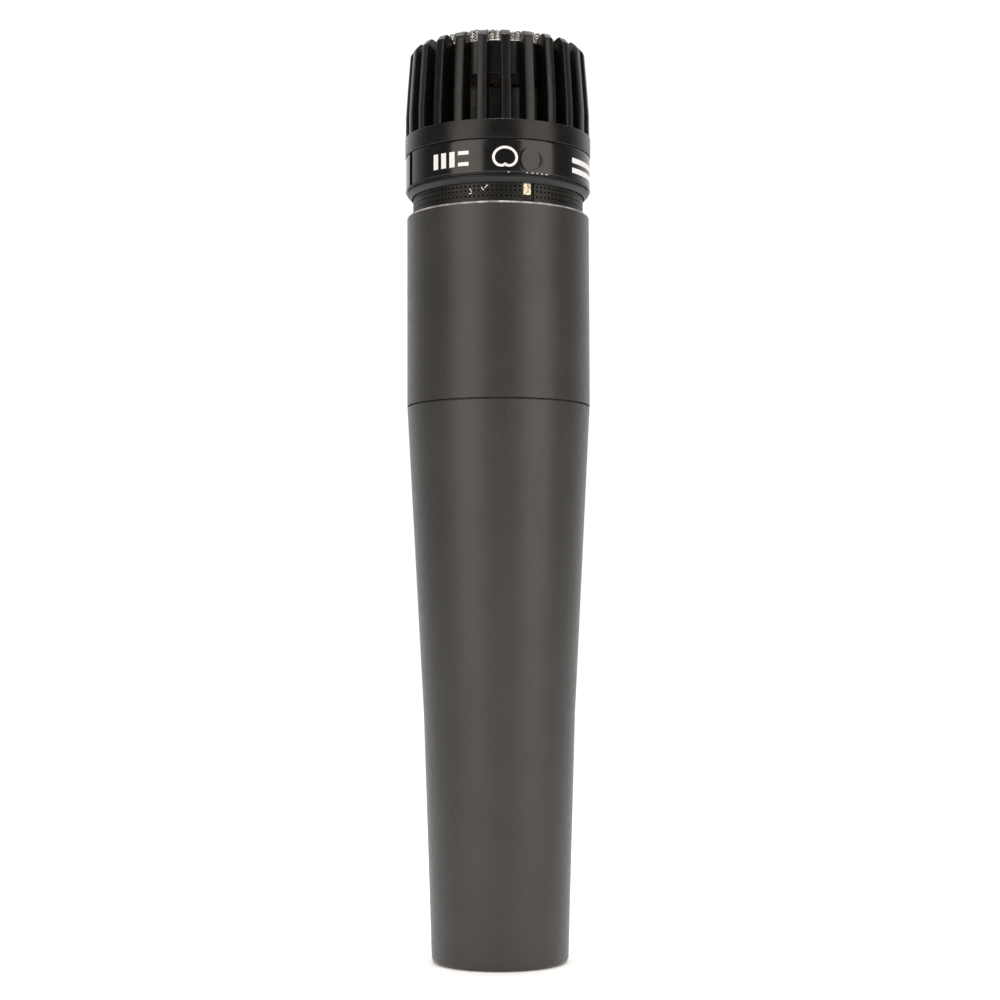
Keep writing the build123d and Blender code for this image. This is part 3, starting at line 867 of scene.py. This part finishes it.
def threaded_wall(low, high, root, crest, back):
    """Closed ring with a thread on one wall and a plain wall at radius back."""
    rows_per_turn = 14
    rows = int((high - low) / SCREW_PITCH * rows_per_turn)
    outline = [(None, low + (high - low) * row / rows) for row in range(rows + 1)]
    outline += [(back, high), (back, low)]

    def cut(radius, height, angle):
        if radius is not None:
            return radius, height
        run_out = 0.8
        ends = smooth((height - low) / run_out) * smooth((high - height) / run_out)
        relief = root if abs(root - back) < abs(crest - back) else crest
        full = thread_radius(height, angle, root, crest)
        return relief + (full - relief) * ends, height

    return turned(outline, 160, cut)


def make_thread():
    """Male thread on the barrel's neck and female thread in the handle."""
    outer, low, high = extent("threaded_collar")
    neck_top = extent("barrel_shell")[1]
    bore, neck, relief_height = 11.3, 12.9, neck_top - 1.2
    male_root, male_crest = 12.7, 13.45
    female_crest, female_root, handle_bore = 12.9, 13.58, 13.62
    flange = rounded([
        (bore, relief_height),
        (neck, relief_height),
        (neck, neck_top),
        (outer, neck_top),
        (outer, high, 0.2),
        (bore, high, 0.2),
    ])
    parts = [turned(flange), threaded_wall(low, relief_height, male_root, male_crest, bore)]
    piece = mesh_piece("barrel_thread", *merge(parts), sharp=30)
    finish(piece, "barrel", "aluminium", ALUMINIUM, "threaded_collar")
    top = extent("handle_shell")[2]
    wall = threaded_wall(top - 9.3, top - 0.5, female_crest, female_root, handle_bore)
    piece = mesh_piece("handle_thread", *wall, sharp=30)
    finish(piece, "handle", "enamel", ALUMINIUM)


def make_washer():
    """Thin washer that shows as the dark line between handle and barrel."""
    outer, low, high = extent("seam_washer")
    bore = 13.62
    outline = rounded([(bore, low), (outer, low, 0.08), (outer, high, 0.08), (bore, high)])
    piece = mesh_piece("seam_gasket", *turned(outline))
    finish(piece, "washer", "insulator", INSULATOR, "seam_washer")


def make_shock_mount():
    """Folded rubber sleeve that sits between the barrel and the cartridge."""
    outer, low, high = extent("shock_mount")
    foot_bore, sleeve_bore, foot_height = 11.2, 9.15, 1.75
    outline = rounded([
        (foot_bore, low, 0.3),
        (outer, low, 0.2),
        (outer, low + foot_height, 0.3),
        (12.6, low + foot_height, 0.5),
        (12.3, low + 4.4, 1.0),
        (10.7, low + 6.6, 1.0),
        (10.6, low + 8.4, 0.3),
        (11.0, high - 1.2, 0.3),
        (10.9, high, 0.4),
        (sleeve_bore, high, 0.3),
        (sleeve_bore, low + 5.4, 0.5),
        (foot_bore, low + 3.0, 0.8),
    ])
    piece = mesh_piece("rubber_mount", *turned(outline))
    piece.data.materials.append(RUBBER)
    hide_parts("shock_mount")
    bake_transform(piece)


# ---- Moving coil --------------------------------------------------------------------
def make_voice_coil():
    """Closed ring whose outer wall shows each turn of wire as a small swelling."""
    outer, low, high = extent("voice_coil")
    wall, turns, steps = 0.28, 20, 4
    radius = (high - low) / turns / 2
    core = outer - radius
    outline = [(outer - wall, low)]
    for turn in range(turns):
        middle = low + (2 * turn + 1) * radius
        for step in range(steps + 1):
            sweep = math.pi * (step / steps - 0.5)
            outline.append((core + radius * math.cos(sweep), middle + radius * math.sin(sweep)))
    outline.append((outer - wall, high))
    piece = mesh_piece("voice_coil_windings", *turned(outline, 120))
    finish(piece, "diaphragm", "copper_wire", COPPER, "voice_coil")


def make_diaphragm():
    """Domed film with a ring of slanted creases in its surround."""
    outer, _, high = extent("diaphragm")
    dome, dome_rise, centre, film = 5.0, 1.5, 0.02, 0.08
    roll_rise, roll_tilt = 0.75, 0.15
    creases, crease_height, slant, fade = 48, 0.05, 1.5, 0.8
    dome_steps, roll_steps = 14, 20
    top = []
    for step in range(dome_steps + 1):
        radius = dome * step / dome_steps
        top.append((max(radius, centre), high - dome_rise * (radius / dome) ** 2))
    for step in range(1, roll_steps + 1):
        across = step / roll_steps
        roll = roll_rise * math.sin(math.pi * across) + roll_tilt * across
        top.append((dome + (outer - dome) * across, high - dome_rise + roll))
    outline = top + [(radius, height - film) for radius, height in reversed(top)]

    def crease(radius, height, angle):
        depth = smooth((radius - dome - 0.4) / fade) * smooth((outer - 0.3 - radius) / fade)
        wave = math.sin(math.radians(creases * angle) + radius * slant)
        return radius, height + crease_height * depth * wave

    vertices, faces = turned(outline, 288, crease)
    piece = mesh_piece("diaphragm_film", vertices, faces)
    finish(piece, "diaphragm", "film", FILM, "diaphragm")


# ---- Floor, light and camera --------------------------------------------------------
def add_area_light(name, place, aim, size, power, colour=(1, 1, 1)):
    """Rectangular soft light that the camera doesn't see; places in metres."""
    data = bpy.data.lights.new(name, "AREA")
    data.shape = "RECTANGLE"
    data.size, data.size_y = size
    data.energy = power
    data.color = colour
    light = bpy.data.objects.new(name, data)
    bpy.context.scene.collection.objects.link(light)
    light.location = place
    light.rotation_euler = (Vector(aim) - Vector(place)).to_track_quat("-Z", "Y").to_euler()
    light.visible_camera = False


def make_studio():
    """White floor, bright surround behind, darker room in front, two tall soft lights."""
    world = bpy.data.worlds.new("studio")
    bpy.context.scene.world = world
    world.use_nodes = True
    tree = world.node_tree
    background = tree.nodes["Background"]
    coordinates = tree.nodes.new("ShaderNodeTexCoord")
    split = tree.nodes.new("ShaderNodeSeparateXYZ")
    ramp = tree.nodes.new("ShaderNodeMapRange")
    ramp.interpolation_type = "SMOOTHSTEP"
    set_range(ramp, 0.1, 0.9, 0.15, 1.05)
    tree.links.new(coordinates.outputs["Generated"], split.inputs["Vector"])
    tree.links.new(split.outputs["Y"], ramp.inputs["Value"])
    tree.links.new(ramp.outputs["Result"], background.inputs["Color"])
    background.inputs["Strength"].default_value = 1.0

    reach, level = 3000, -0.02
    corners = [(x * reach, y * reach, level) for x, y in ((-1, -1), (1, -1), (1, 1), (-1, 1))]
    floor = mesh_piece("floor", corners, [(0, 1, 2, 3)])
    nodes = Nodes("floor_paper")
    grain = nodes.speckle(0.6, 3.0)
    # The far floor glows more, so that it meets the surround without a line
    nodes.set(
        base_color=nodes.blend(grain, (0.93, 0.93, 0.93), (0.95, 0.95, 0.95)),
        roughness=0.7,
        emission_color=(1, 1, 1, 1),
        emission_strength=nodes.between(nodes.along("Y"), 400, 1100, 0.25, 0.67),
    )
    floor.data.materials.append(nodes.material)

    middle, head = (0, 0, 0.09), (0, 0, 0.13)
    warm = (1.0, 0.87, 0.77)
    add_area_light("left_softbox", (-0.388, -0.484, 0.2), middle, (0.44, 0.9), 2.55, warm)
    add_area_light("right_softbox", (0.473, -0.401, 0.2), middle, (0.46, 0.9), 2.65, warm)
    add_area_light("overhead", (0, 0.1, 0.9), middle, (0.9, 0.9), 5.0)
    add_area_light("edge_light", (0, -0.22, 0.8), head, (0.24, 0.14), 1.2)


def make_camera():
    """Level with the handle's upper half, a third of a metre in front, tilted up a little."""
    tilt_up, roll_angle = 3.45, -0.17
    data = bpy.data.cameras.new("camera")
    data.lens = 73.4
    data.sensor_width = 36
    camera = bpy.data.objects.new("camera", data)
    bpy.context.scene.collection.objects.link(camera)
    camera.location = (0.0002, -0.3506, 0.0574)
    tilt = Euler((math.radians(90 + tilt_up), 0, 0)).to_matrix()
    roll = Matrix.Rotation(math.radians(roll_angle), 3, "Z")
    camera.rotation_euler = (tilt @ roll).to_euler()
    bpy.context.scene.camera = camera


make_camera()
make_studio()
dress_cad_nodes()
make_grille_cap()
make_head_ring()
make_print(*make_label())
make_wire_screen()
make_screen_rim()
make_filter()
make_resonator_cap()
make_perforated_ring()
make_lint()
make_thread()
make_washer()
make_shock_mount()
make_voice_coil()
make_diaphragm()

bpy.context.scene.view_settings.view_transform = "Standard"
